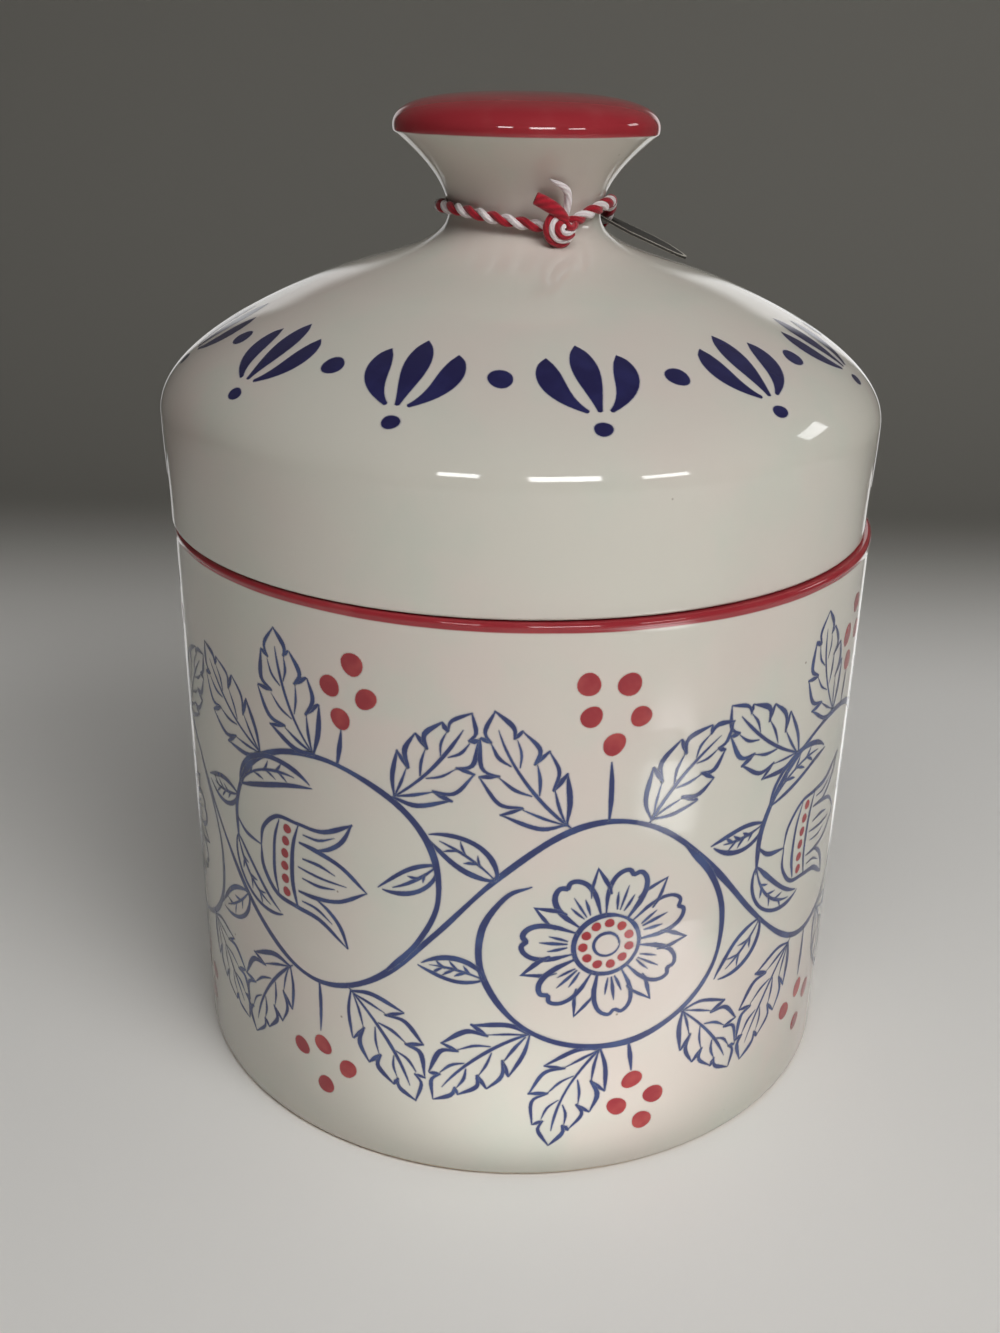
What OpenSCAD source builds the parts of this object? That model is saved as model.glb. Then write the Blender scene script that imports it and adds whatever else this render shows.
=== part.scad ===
// Biscuit jar: a straight-sided glazed ceramic jar with a domed lid, a flared knob,
// a two-colour twine tied round the neck of the knob and a card tag on the twine.
// Millimetres, +Z up, origin at the centre of the foot.

/* [Jar] */
// Height of the jar from the table to its rim
jar_h = 152; // [120:1:220]
// Outside radius of the wall just under the rim
jar_r = 92.9; // [80:0.1:110]
// How much narrower the wall's radius is at the foot
jar_taper = 1.1; // [0:0.1:6]
// Thickness of the jar's wall
jar_wall = 6; // [4:0.5:8]
// Thickness of the jar's floor
jar_floor = 7; // [5:0.5:10]
// Rounding of the outside edge at the foot
foot_round = 2; // [1:0.5:4]
// Width of the ring that the jar stands on
foot_ring_w = 8; // [5:1:14]
// Depth of the hollow inside the foot ring
foot_recess = 2; // [1:0.5:3]
// Radius of the rolled rim's section
roll_r = 1.1; // [0.9:0.1:1.6]
// How far the rolled rim stands out from the wall
roll_out = 0.2; // [0.1:0.1:0.8]
// Rounding where the wall meets the floor inside
inner_round = 9; // [4:1:14]

/* [Lid] */
// How far the lid's lower edge stands in from the jar's wall
lid_inset = 0.4; // [0.3:0.1:1.2]
// Rounding of the lid's lower edge
lid_edge_round = 1; // [0.5:0.1:1.5]
// How far the shoulder stands out from the lower edge
shoulder_out = 0.7; // [0:0.1:2]
// Height of the shoulder above the lower edge
shoulder_h = 27.8; // [22:0.1:34]
// How far out from the neck's waist the dome's slope is set
dome_out = 34.6; // [30:0.1:39]
// Height of the dome there above the shoulder
dome_rise = 30.6; // [26:0.1:36]
// Slope of the dome there, in degrees
dome_slope = 22.6; // [18:0.1:28]
// Thickness of the lid's wall
lid_wall = 6; // [4:0.5:8]
// Radial clearance between the locating ring and the jar's mouth
ring_clearance = 2.4; // [1.8:0.1:3]
// Thickness of the locating ring
ring_t = 4; // [3:0.5:6]
// How deep the locating ring reaches into the jar
ring_depth = 9; // [5:1:16]
// Rounding of the locating ring's free edges
ring_round = 1; // [0.5:0.1:1.5]
// Gap between the lid's lower edge and the jar's rim
seat_gap = 0.3; // [0.2:0.1:0.5]
// How far the loose lid rests off the jar's axis, towards -X
lid_shift = 1.1; // [0:0.1:1.7]

/* [Knob] */
// Radius of the neck at its waist
neck_r = 19.3; // [17:0.1:22]
// Height of the waist above the point where the dome's slope is set
neck_rise = 16.6; // [14:0.1:19]
// Thickness of the neck's wall round the hole up its middle
neck_wall = 6.8; // [5:0.1:8]
// How far the knob's lip stands out from the waist
knob_out = 13.8; // [12:0.1:18]
// Height of the lip above the waist
knob_rise = 20.6; // [18:0.1:24]
// Angle of the knob's underside at the lip, in degrees
knob_flare = 40; // [34:1:46]
// How far the lip's lower edge is set back from its widest circle
lip_back = 0.3; // [0.2:0.1:0.6]
// How far the lip's lower edge lies below its widest circle
lip_drop = 1.5; // [1:0.1:2.5]
// Height of the knob's crown above its lip
crown_h = 8.1; // [7:0.1:12]
// Thickness of the wall over the hollow in the knob
knob_wall = 6; // [5:0.5:7]
// Height of the rounded edge of that hollow
hollow_edge = 4; // [2:0.5:5]

/* [Curves] */
// Reach of the shoulder's curve, up from its widest point
shoulder_pull = 10.2; // [7:0.1:13]
// Reach of the dome's curve, down its slope
dome_pull_out = 26.2; // [20:0.1:30]
// Reach of the dome's curve, up its slope
dome_pull_in = 14.5; // [10:0.1:18]
// Reach of the neck's curve, down from the waist
waist_pull_down = 8.1; // [6:0.1:10]
// Reach of the neck's curve, up from the waist
waist_pull_up = 8.3; // [6:0.1:11]
// Reach of the underside's curve at the lip
lip_pull = 5.3; // [4:0.1:8]
// Reach of the crown's curve, up from the lip
crown_pull_up = 6; // [4:0.1:7]
// Reach of the crown's curve, out from the middle
crown_pull_out = 22; // [15:0.1:26]
// Reach of the inner dome's curve, up its slope
inner_pull_in = 7.2; // [5:0.1:9]
// Reach of the curve at the lower end of the neck's hole
bore_pull = 2; // [1:0.1:3]
// How far the straight part of the neck's hole reaches below the waist
bore_down = 12; // [9:0.5:14]
// How far the straight part of the neck's hole reaches above the waist
bore_up = 3; // [1:0.5:5]

/* [Twine] */
// Diameter of the twine
twine_d = 2.8; // [2:0.1:3]
// Length of the knot along the twine
knot_l = 9; // [8:0.1:11]
// Depth of the knot away from the neck
knot_w = 5.2; // [4:0.1:6]
// Height of the knot
knot_t = 7; // [6:0.1:8]
// Diameter of the loose end of the red yarn
red_end_d = 3; // [2:0.1:3.4]
// Diameter of the loose end of the white yarn
white_end_d = 2; // [1.5:0.1:2.4]

/* [Tag] */
// Length of the card
tag_l = 29; // [26:1:36]
// Width of the card
tag_w = 19; // [16:1:22]
// Thickness of the card
tag_t = 0.8; // [0.5:0.1:1]
// Rounding of the card's outer corners
tag_round = 7; // [3:0.5:7.5]
// Width of the clipped end with the hole
tag_end_w = 8; // [7:0.1:9]
// How far the clipped corners reach along the card
tag_clip = 6.5; // [4:0.5:9]
// Play of the twine in the card's hole
tag_play = 4; // [3.8:0.1:4.4]
// Card left between the hole and the clipped end
tag_edge = 1.2; // [1:0.1:1.6]
// How far the card points round from straight out of the neck, in degrees
tag_turn = -4; // [-12:1:0]
// Gap left under the card's low edge where it rests on the dome
tag_gap = 0.1; // [0.1:0.1:1]
// Tilt of the card across its length, in degrees
tag_roll = 11; // [8:0.5:12]

/* [Quality] */
// Facets round a full turn
$fn = 96; // [48:8:160]
// Points along each curve of an outline
curve_steps = 10; // [6:1:16]

/* [Hidden] */

mouth_r = jar_r - jar_wall;
ring_r = mouth_r - ring_clearance;
lid_z = jar_h + seat_gap;

lid_edge_r = jar_r - lid_inset;
shoulder = [lid_edge_r + shoulder_out, shoulder_h];
dome = [neck_r + dome_out, shoulder_h + dome_rise];
waist = [neck_r, dome[1] + neck_rise];
lip = [neck_r + knob_out, waist[1] + knob_rise];
lip_low = lip - [lip_back, lip_drop];
lid_h = lip[1] + crown_h;
down_dome = [cos(dome_slope), -sin(dome_slope)];
under_lip = [cos(knob_flare), sin(knob_flare)];

tag_hole_d = twine_d + tag_play;
tag_hole_in = tag_edge + tag_hole_d / 2;
tag_rest = tag_gap + tag_t / 2 + tag_w / 2 * sin(tag_roll);
cord_sides = 8;

// The loop's route round the neck, from knot to knot: direction in degrees,
// gap to the waist's radius and height above the waist.
loop_route = [
    [294, 1.7, -1.1], [305, 0.9, 0.2], [320, 0.8, 2], [335, 0.8, 3.1], [348, 0.8, 3.5],
    [360, 1, 3.4], [371, 1.7, 2.5], [381, 2.9, 0.6], [390, 3.8, -2], [399, 4.2, -4],
    [410, 3.8, -4], [424, 2.8, -3.3], [440, 2.1, -2.4], [458, 1.3, -1.4], [476, 0.8, -0.4],
    [494, 0.7, 0.4], [512, 0.7, 0.9], [530, 0.7, 1.3], [548, 0.7, 1.7], [566, 0.7, 1.9],
    [584, 0.7, 1.8], [600, 0.7, 1.2], [615, 0.8, 0.4], [630, 1.1, -0.4], [640, 1.5, -0.9],
    [648, 1.7, -1.1]
];
knot_at = [291, 1.6, -1];

// The yarns' loose ends, in the same three measures.
red_route = [[293, 4.6, 0.6], [289.5, 4.7, 2.3], [285, 4.5, 3.7], [280, 4.2, 4.9], [276, 4, 5.7]];
white_route = [
    [295.5, 2.6, 1.4], [296, 2.9, 3.4], [296, 3.4, 5.3], [294.5, 3.9, 7.2], [290.5, 4.3, 8.5],
    [286, 4.6, 9.4], [283.5, 4.7, 10]
];

// The twine crosses the tag's hole at this point of the loop.
tag_stop = 8;
// How far the twine lies from the hole's centre, towards the clipped end
tag_offset = 0.4;

function bezier(a, b, c, d) = [
    for (i = [0:curve_steps - 1])
        let (t = i / curve_steps)
        pow(1 - t, 3) * a + 3 * pow(1 - t, 2) * t * b + 3 * (1 - t) * t * t * c + pow(t, 3) * d
];
function arc(centre, r, from, to) = [
    for (i = [0:curve_steps])
        let (a = from + (to - from) * i / curve_steps)
        centre + r * [cos(a), sin(a)]
];
// Place beside the neck for something of diameter d, from one point of a route
function place(p, d) =
    let (r = neck_r + d / 2 + p[1])
    [r * cos(p[0]), r * sin(p[0]), lid_z + waist[1] + p[2]];
function unit(v) = v / norm(v);

// Outside of the lid from its lower edge to the middle of the knob, measured from the lower edge.
function lid_outline() =
    let (edge = [lid_edge_r, lid_edge_round], third = [0, shoulder_h / 3])
    concat(
        arc(edge - [lid_edge_round, 0], lid_edge_round, -90, 0),
        bezier(edge, edge + third, shoulder - third, shoulder),
        bezier(shoulder, shoulder + [0, shoulder_pull], dome + dome_pull_out * down_dome, dome),
        bezier(dome, dome - dome_pull_in * down_dome, waist - [0, waist_pull_down], waist),
        bezier(waist, waist + [0, waist_pull_up], lip_low - lip_pull * under_lip, lip_low),
        bezier(lip_low, lip_low + lip_back * under_lip, lip - [0, lip_drop / 2], lip),
        bezier(lip, lip + [0, crown_pull_up], [crown_pull_out, lid_h], [0, lid_h]),
        [[0, lid_h]]
    );

// Inside of the lid, from the middle of the knob's hollow down to the locating ring.
function lid_inside() =
    let (
        top = [0, lid_h - knob_wall],
        hollow = [lip[0] - 2 * knob_wall, top[1] - hollow_edge],
        bore_high = [neck_r - neck_wall, waist[1] + bore_up],
        bore_low = [neck_r - neck_wall, waist[1] - bore_down],
        dome_under = dome - lid_wall * [sin(dome_slope), cos(dome_slope)],
        shoulder_in = shoulder - [lid_wall, 0],
        ring_top = [ring_r - ring_t, lid_wall],
        third = [0, shoulder_h / 3]
    )
    concat(
        bezier(top, [hollow[0] / 2, top[1]], hollow + [0, hollow_edge / 2], hollow),
        bezier(hollow, hollow - [knob_wall, knob_wall], bore_high + [0, knob_wall], bore_high),
        bezier(bore_low, bore_low - [0, bore_pull], dome_under - inner_pull_in * down_dome, dome_under),
        bezier(
            dome_under, dome_under + (dome_pull_out - lid_wall / 2) * down_dome,
            shoulder_in + [0, shoulder_pull], shoulder_in
        ),
        bezier(shoulder_in, shoulder_in - third, ring_top + third, ring_top),
        [ring_top]
    );

// Section of the locating ring's free end, with both corners rounded, and the seat beside it.
function ring_outline() =
    let (low = ring_round - ring_depth)
    concat(
        arc([ring_r - ring_t + ring_round, low], ring_round, 180, 270),
        arc([ring_r - ring_round, low], ring_round, 270, 360),
        [[ring_r, 0]]
    );

// A round tube along a route, with one ring of corners at each point.
module tube(route, d) {
    points = [for (p = route) place(p, d)];
    last = len(points) - 1;
    rings = [
        for (i = [0:last])
            let (
                along = unit(points[min(i + 1, last)] - points[max(i - 1, 0)]),
                side = unit(cross(along, [0, 0, 1])),
                up = cross(side, along)
            )
            for (k = [0:cord_sides - 1])
                points[i] + d / 2 * (cos(k * 360 / cord_sides) * side + sin(k * 360 / cord_sides) * up)
    ];
    walls = [
        for (i = [0:last - 1], k = [0:cord_sides - 1])
            let (a = i * cord_sides, b = a + cord_sides, next = (k + 1) % cord_sides)
            each [[a + k, a + next, b + next], [a + k, b + next, b + k]]
    ];
    start_cap = [for (k = [0:cord_sides - 1]) cord_sides - 1 - k];
    end_cap = [for (k = [0:cord_sides - 1]) last * cord_sides + k];
    polyhedron(rings, concat(walls, [start_cap, end_cap]), 4);
}

// What rests on the lid shares its place off the jar's axis.
module on_lid() translate([-lid_shift, 0, 0]) children();

// Straight-sided jar with a rolled rim and a foot ring
module jar_body() {
    foot_r = jar_r - jar_taper;
    foot_in = foot_r - foot_round - foot_ring_w;
    corner = [foot_r - jar_wall - inner_round, jar_floor + inner_round];
    roll = [jar_r + roll_out - roll_r, jar_h - roll_r];
    // The roll leaves the wall where its circle crosses the wall's radius
    roll_start = acos((jar_r - roll[0]) / roll_r);
    outline = concat(
        [[0, foot_recess], [foot_in - foot_recess, foot_recess], [foot_in, 0]],
        arc([foot_r - foot_round, foot_round], foot_round, -90, 0),
        arc(roll, roll_r, -roll_start, 90),
        arc([mouth_r + roll_r, roll[1]], roll_r, 90, 180),
        arc(corner, inner_round, 0, -90),
        [[0, jar_floor]]
    );
    color("antiquewhite") rotate_extrude() polygon(outline);
}

// Domed lid in one piece with its knob and its locating ring
module jar_lid() {
    color("antiquewhite") on_lid() translate([0, 0, lid_z])
        rotate_extrude() polygon(concat(lid_outline(), lid_inside(), ring_outline()));
}

// Twine round the neck, open where the knot closes it
module twine_loop() {
    color("firebrick") on_lid() tube(loop_route, twine_d);
}

// Tied knot, standing just clear of the neck
module twine_knot() {
    color("firebrick") on_lid() translate(place(knot_at, knot_w)) rotate([0, 0, knot_at[0]])
        scale([knot_w, knot_l, knot_t] / twine_d) sphere(d = twine_d, $fn = 12);
}

// Loose end of the red yarn
module red_yarn_end() {
    color("crimson") on_lid() tube(red_route, red_end_d);
}

// Loose end of the white yarn
module white_yarn_end() {
    color("white") on_lid() tube(white_route, white_end_d);
}

// Outline of the card: round outer corners, clipped inner ones and the hole
module tag_outline() {
    difference() {
        union() {
            hull() {
                for (s = [-1, 1])
                    translate([tag_l - tag_round, s * (tag_w / 2 - tag_round)]) circle(tag_round);
                translate([tag_clip, -tag_w / 2]) square([1, tag_w]);
            }
            polygon([[0, -tag_end_w / 2], [tag_clip, -tag_w / 2], [tag_clip, tag_w / 2], [0, tag_end_w / 2]]);
        }
        translate([tag_hole_in, 0]) circle(d = tag_hole_d);
    }
}

// Card tag, threaded on the twine, whose slope lets it just rest on the dome
module hang_tag() {
    stop = loop_route[tag_stop];
    pin = [neck_r + twine_d / 2 + stop[1], waist[1] + stop[2]];
    slopes = [
        for (p = lid_outline())
            if (p[1] < pin[1] && p[0] > pin[0] + tag_hole_d && p[0] < pin[0] + tag_l)
                atan2(pin[1] - p[1] - tag_rest, p[0] - pin[0])
    ];
    color("dimgray") on_lid() translate(place(stop, twine_d))
        rotate([0, min(slopes), stop[0] + tag_turn]) rotate([tag_roll, 0, 0])
        translate([tag_offset - tag_hole_in, 0, -tag_t / 2]) linear_extrude(tag_t) tag_outline();
}

jar_body();
jar_lid();
twine_loop();
twine_knot();
red_yarn_end();
white_yarn_end();
hang_tag();
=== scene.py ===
import bpy
import numpy as np
from mathutils import Matrix, Vector


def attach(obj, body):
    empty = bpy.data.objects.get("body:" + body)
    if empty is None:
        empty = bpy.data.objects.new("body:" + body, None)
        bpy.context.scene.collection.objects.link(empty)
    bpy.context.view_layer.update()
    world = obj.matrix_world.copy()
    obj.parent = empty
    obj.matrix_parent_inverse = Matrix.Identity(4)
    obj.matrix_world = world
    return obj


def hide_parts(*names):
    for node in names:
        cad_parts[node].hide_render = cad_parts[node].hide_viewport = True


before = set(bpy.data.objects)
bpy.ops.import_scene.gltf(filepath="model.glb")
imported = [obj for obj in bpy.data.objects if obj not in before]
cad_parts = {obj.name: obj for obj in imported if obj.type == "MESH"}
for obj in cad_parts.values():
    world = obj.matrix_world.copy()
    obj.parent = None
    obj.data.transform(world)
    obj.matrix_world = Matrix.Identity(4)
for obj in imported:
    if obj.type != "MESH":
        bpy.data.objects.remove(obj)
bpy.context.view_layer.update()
mm = 0.001
chance = np.random.default_rng(12)
print("frame loaded:", sorted(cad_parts))


# small helpers for colours, nodes, curves and surfaces

def tone(red, green, blue):
    # screen value 0..255 to linear light: ((c + 0.055) / 1.055) ^ 2.4
    c = np.array([red, green, blue]) / 255
    return (*np.where(c > 0.04045, ((c + 0.055) / 1.055) ** 2.4, c / 12.92), 1.0)


def wire(value, socket):
    # a socket knows the node tree that it stands in, as its id_data
    socket.id_data.links.new(value, socket)


def place(tree, kind, inputs=None, **settings):
    # one shader node; an input is a plain value or another node's output
    made = tree.nodes.new(kind)
    for key, value in settings.items():
        setattr(made, key, value)
    for key, value in (inputs or {}).items():
        if isinstance(value, bpy.types.NodeSocket):
            wire(value, made.inputs[key])
        else:
            made.inputs[key].default_value = value
    return made


def newGroup(name, takes, gives):
    # an empty node group with named inputs and outputs; a value of four numbers makes a colour socket
    tree = bpy.data.node_groups.new(name, "ShaderNodeTree")
    for way, sockets in (("INPUT", takes), ("OUTPUT", gives)):
        for label, value in sockets.items():
            kind = "NodeSocketColor" if np.ndim(value) else "NodeSocketFloat"
            tree.interface.new_socket(name=label, in_out=way, socket_type=kind).default_value = value
    return tree, tree.nodes.new("NodeGroupInput").outputs, tree.nodes.new("NodeGroupOutput").inputs


def newFinish(name, **values):
    # a material with one Principled shader whose plain values are set on its sockets
    material = bpy.data.materials.new(name)
    material.use_nodes = True
    shader = material.node_tree.nodes["Principled BSDF"]
    for key, value in values.items():
        shader.inputs[key].default_value = value
    return material, material.node_tree, shader


def mixed(share, first, second):
    # first * (1 - share) + second * share, for colours
    return place(share.id_data, "ShaderNodeMix", {0: share, 6: first, 7: second}, data_type="RGBA").outputs[2]


def ramped(value, low, high, start=0.0, stop=1.0):
    # a smooth step from start at low to stop at high
    return place(value.id_data, "ShaderNodeMapRange", {0: value, 1: low, 2: high, 3: start, 4: stop},
                 interpolation_type="SMOOTHSTEP").outputs[0]


def calc(operation, *values):
    tree = next(value.id_data for value in values if isinstance(value, bpy.types.NodeSocket))
    return place(tree, "ShaderNodeMath", dict(enumerate(values)), operation=operation).outputs[0]


def objectPlace(tree):
    return place(tree, "ShaderNodeTexCoord").outputs["Object"]


def along(vector, axis):
    return place(vector.id_data, "ShaderNodeSeparateXYZ", {0: vector}).outputs[axis]


def noise(at, scale, detail):
    inputs = {"Vector": at, "Scale": scale, "Detail": detail}
    return place(at.id_data, "ShaderNodeTexNoise", inputs).outputs[0]


def bumped(shader, height, distance, strength=1.0):
    # the height, in shares of the distance in metres, tilts the shader's normal
    inputs = {"Strength": strength, "Distance": distance, "Height": height}
    wire(place(shader.id_data, "ShaderNodeBump", inputs).outputs[0], shader.inputs["Normal"])


def bezier(a, b, c, d, count):
    # (1-t)^3 a + 3 (1-t)^2 t b + 3 (1-t) t^2 c + t^3 d, without its last point
    t = np.linspace(0, 1, count, endpoint=False)[:, None]
    a, b, c, d = (np.array(p, float) for p in (a, b, c, d))
    return (1 - t) ** 3 * a + 3 * (1 - t) ** 2 * t * b + 3 * (1 - t) * t ** 2 * c + t ** 3 * d


def cosSin(degrees):
    return np.cos(np.radians(degrees)), np.sin(np.radians(degrees))


def arc(centre, radius, start, stop, count):
    # centre + radius (cos a, sin a), a from start to stop in degrees
    return np.array(centre) + radius * np.stack(cosSin(np.linspace(start, stop, count)), 1)


def straight(a, b, count):
    return np.array(a, float) + np.linspace(0, 1, count, endpoint=False)[:, None] * (np.array(b, float) - a)


def unit(v):
    return v / np.linalg.norm(v, axis=-1, keepdims=True)


def travelled(path):
    # length along the path up to each of its points
    return np.concatenate([[0], np.cumsum(np.linalg.norm(np.diff(path, axis=0), axis=1))])


def smoothPath(points, step):
    # Catmull-Rom curve through the points, then even steps along its length
    points = np.array(points, float)
    p = np.vstack([2 * points[0] - points[1], points, 2 * points[-1] - points[-2]])
    a, b, c, d = p[:-3, None], p[1:-2, None], p[2:-1, None], p[3:, None]
    t = np.linspace(0, 1, 24, endpoint=False)[None, :, None]
    fine = 0.5 * (2 * b + (c - a) * t + (2 * a - 5 * b + 4 * c - d) * t ** 2
                  + (3 * b - a - 3 * c + d) * t ** 3)
    fine = np.vstack([fine.reshape(-1, points.shape[1]), points[-1:]])
    gone = travelled(fine)
    at = np.linspace(0, gone[-1], max(int(gone[-1] / step), 2) + 1)
    return np.stack([np.interp(at, gone, fine[:, i]) for i in range(points.shape[1])], 1), at


def addPiece(name, points, faces, finishes, creaseAngle=None, values=None, corners=None, finishOf=None):
    # a mesh piece from arrays: points in metres, faces as blocks of rows of point numbers,
    # values by point, corners as a UV pair for each corner of each face, finishOf by block
    mesh = bpy.data.meshes.new(name)
    rows = [row for block in faces for row in np.asarray(block).tolist()]
    mesh.from_pydata(np.asarray(points).tolist(), [], rows)
    for label, data in (values or {}).items():
        mesh.attributes.new(label, "FLOAT", "POINT").data.foreach_set("value", np.asarray(data, np.float32))
    if corners is not None:
        mesh.uv_layers.new(name="UVMap").data.foreach_set("uv", np.asarray(corners, np.float32).ravel())
    if finishOf is not None:
        numbers = np.repeat(finishOf, [len(block) for block in faces])
        mesh.polygons.foreach_set("material_index", numbers.astype(np.int32))
    mesh.shade_smooth()
    if creaseAngle:
        mesh.set_sharp_from_angle(angle=np.radians(creaseAngle))
    for finish in finishes:
        mesh.materials.append(finish)
    piece = bpy.data.objects.new(name, mesh)
    bpy.context.scene.collection.objects.link(piece)
    return piece


def standsFor(piece, node, body):
    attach(piece, body)
    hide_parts(node)


def ringFaces(rings, around):
    # quads between closed rings of points, each corner i + k to the next ring's and the next corner's
    k, i = np.arange(around), np.arange(rings - 1)[:, None] * around
    after = (k + 1) % around
    return np.stack([i + k, i + around + k, i + around + after, i + after], -1).reshape(-1, 4)


def fanFaces(middle, first, around, flip=False):
    # triangles from one middle point to the ring that begins at the first point
    k = np.arange(around)
    here, after = first + k, first + (k + 1) % around
    return np.stack([0 * k + middle, after, here] if flip else [0 * k + middle, here, after], -1)


def joined(parts):
    # several shapes, each its points, blocks of faces and values, as one
    starts = np.cumsum([0] + [len(points) for points, _, _ in parts[:-1]])
    faces = [block + start for (_, blocks, _), start in zip(parts, starts) for block in blocks]
    return np.vstack([part[0] for part in parts]), faces, np.concatenate([part[2] for part in parts])


def turned(profile, shift=0.0):
    # (r cos v + shift, r sin v, z); the profile runs from pole to pole, each pole is one point
    turns = 256
    v = np.linspace(0, 2 * np.pi, turns, endpoint=False)
    r, z = profile[1:-1, 0][:, None], profile[1:-1, 1][:, None]
    grid = np.stack([r * np.cos(v) + shift, r * np.sin(v), z + 0 * v], -1).reshape(-1, 3)
    points = np.vstack([grid, [[shift, 0, profile[0, 1]], [shift, 0, profile[-1, 1]]]])
    rings = len(profile) - 2
    firstPole, lastRing = rings * turns, (rings - 1) * turns
    fans = [fanFaces(firstPole, 0, turns), fanFaces(firstPole + 1, lastRing, turns, flip=True)]
    return points * mm, [ringFaces(rings, turns), *fans]


view = {"stand": (0.0005, -0.3777, 0.2624), "down": 22.92, "turn": -0.867, "roll": -1.022, "lens": 38.62}

yaw, pitch, roll = np.radians([view["turn"], view["down"], view["roll"]])
ahead = np.array([np.sin(yaw) * np.cos(pitch), np.cos(yaw) * np.cos(pitch), -np.sin(pitch)])
right = np.array([np.cos(yaw), -np.sin(yaw), 0])
below = np.cross(ahead, right)
right, below = np.cos(roll) * right + np.sin(roll) * below, np.cos(roll) * below - np.sin(roll) * right
lens = bpy.data.cameras.new("camera")
lens.lens, lens.sensor_width, lens.sensor_fit = view["lens"], 36, "AUTO"
lens.clip_start, lens.clip_end = 0.01, 30
camera = bpy.data.objects.new("camera", lens)
axes = [[right[i], -below[i], -ahead[i], view["stand"][i]] for i in range(3)]
camera.matrix_world = Matrix(axes + [[0, 0, 0, 1]])
bpy.context.scene.collection.objects.link(camera)
bpy.context.scene.camera = camera
print("camera ready")


studio = {
    "floor": tone(240, 238, 234), "far": tone(128, 126, 120), "paleTo": 0.20, "farFrom": 0.52, "front": -5,
    "wallAt": 0.85, "wallHigh": 4.0, "bend": 0.35, "width": 8.0, "world": tone(30, 28, 26), "worldLevel": 1.0,
}

# floor, quarter-round bend and wall as one sheet: (x, path y, path z)
bendFrom = studio["wallAt"] - studio["bend"]
path = np.vstack([
    straight((studio["front"], 0), (bendFrom, 0), 12),
    arc((bendFrom, studio["bend"]), studio["bend"], -90, 0, 24),
    [[studio["wallAt"], studio["wallHigh"]]],
])
across = np.array([-0.5, 0.5]) * studio["width"]
sheet = np.stack([across[None, :] + 0 * path[:, :1], path[:, :1] + 0 * across, path[:, 1:] + 0 * across], -1)
k = np.arange(len(path) - 1) * 2
floorFinish, tree, shader = newFinish("floorPaper", **{"Roughness": 1.0, "Specular IOR Level": 0.0})
back = ramped(along(objectPlace(tree), "Y"), studio["paleTo"], studio["farFrom"])
wire(mixed(back, studio["floor"], studio["far"]), shader.inputs["Base Color"])
floor = addPiece("floor", sheet.reshape(-1, 3), [np.stack([k, k + 1, k + 3, k + 2], -1)], [floorFinish])

world = bpy.context.scene.world or bpy.data.worlds.new("world")
bpy.context.scene.world = world
world.use_nodes = True
background = world.node_tree.nodes["Background"]
background.inputs["Color"].default_value = studio["world"]
background.inputs["Strength"].default_value = studio["worldLevel"]

# each lamp: azimuth from the front towards the right, elevation, distance, width, height, radiance,
# share of its size over which its edge fades, and whether it lights or only shows in the gloss
lamps = {
    "windowLeft": (-17.5, 23.5, 1.7, 0.37, 0.21, 15, 0.07, False),
    "windowMiddle": (14, 21, 1.7, 0.64, 0.28, 16, 0.07, False),
    "windowRight": (44, 18, 1.7, 0.44, 0.17, 13, 0.07, False),
    "windowSide": (108, 24, 1.7, 0.40, 0.22, 5, 0.07, False),
    "softFront": (2, 57, 1.6, 1.9, 1.2, 4.2, 0.45, True),
    "softRight": (40, 37, 1.6, 1.4, 1.0, 8.6, 0.45, True),
    "edgeLeft": (-158, 2, 0.6, 0.16, 0.5, 0.7, 0.2, False),
    "edgeRight": (158, 2, 0.6, 0.16, 0.5, 0.9, 0.2, False),
}
lampMiddle = np.array([0, 0, 0.16])
# lamps that lie just above the floor and shine up: azimuth that their length runs in, middle, rest as above
lowLamps = {
    "lowGlare": (52, (0.17, -0.19, 0.003), 0.12, 0.30, 4.4, 0.4, False),
    "lowBounce": (14, (0.06, -0.30, 0.003), 0.40, 0.34, 1.6, 0.45, True),
    "lowFoot": (8, (0.02, -0.122, 0.003), 0.30, 0.05, 3.2, 0.45, True),
    "lowEdgeLeft": (-152, (-0.251, 0.344, 0.003), 0.06, 0.65, 0.45, 0.1, False),
    "lowEdgeRight": (152, (0.251, 0.344, 0.003), 0.06, 0.65, 0.7, 0.1, False),
}


def addLamp(name, matrix, width, height, radiance, fade, lights):
    # strength = smooth step of min(u, 1 - u) / fade * the same for v, across the lamp's face
    lamp = bpy.data.lights.new(name, "AREA")
    lamp.shape, lamp.size, lamp.size_y = "RECTANGLE", width, height
    lamp.energy = radiance * np.pi * width * height
    lamp.use_nodes = True
    tree = lamp.node_tree
    acrossFace = place(tree, "ShaderNodeNewGeometry").outputs["Parametric"]
    edges = []
    for axis in ("X", "Y"):
        share = along(acrossFace, axis)
        nearest = calc("MINIMUM", share, calc("SUBTRACT", 1.0, share))
        edges.append(ramped(nearest, 0.0, fade))
    wire(calc("MULTIPLY", *edges), tree.nodes["Emission"].inputs["Strength"])
    holder = bpy.data.objects.new(name, lamp)
    holder.matrix_world = matrix
    holder.visible_camera, holder.visible_diffuse, holder.visible_glossy = False, lights, not lights
    bpy.context.scene.collection.objects.link(holder)


for name, (azimuth, rise, distance, *face) in lamps.items():
    az, el = np.radians([azimuth, rise])
    toLamp = np.array([np.sin(az) * np.cos(el), -np.cos(az) * np.cos(el), np.sin(el)])
    aimed = Vector(-toLamp).to_track_quat("-Z", "Y").to_matrix().to_4x4()
    addLamp(name, Matrix.Translation(lampMiddle + distance * toLamp) @ aimed, *face)

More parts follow.
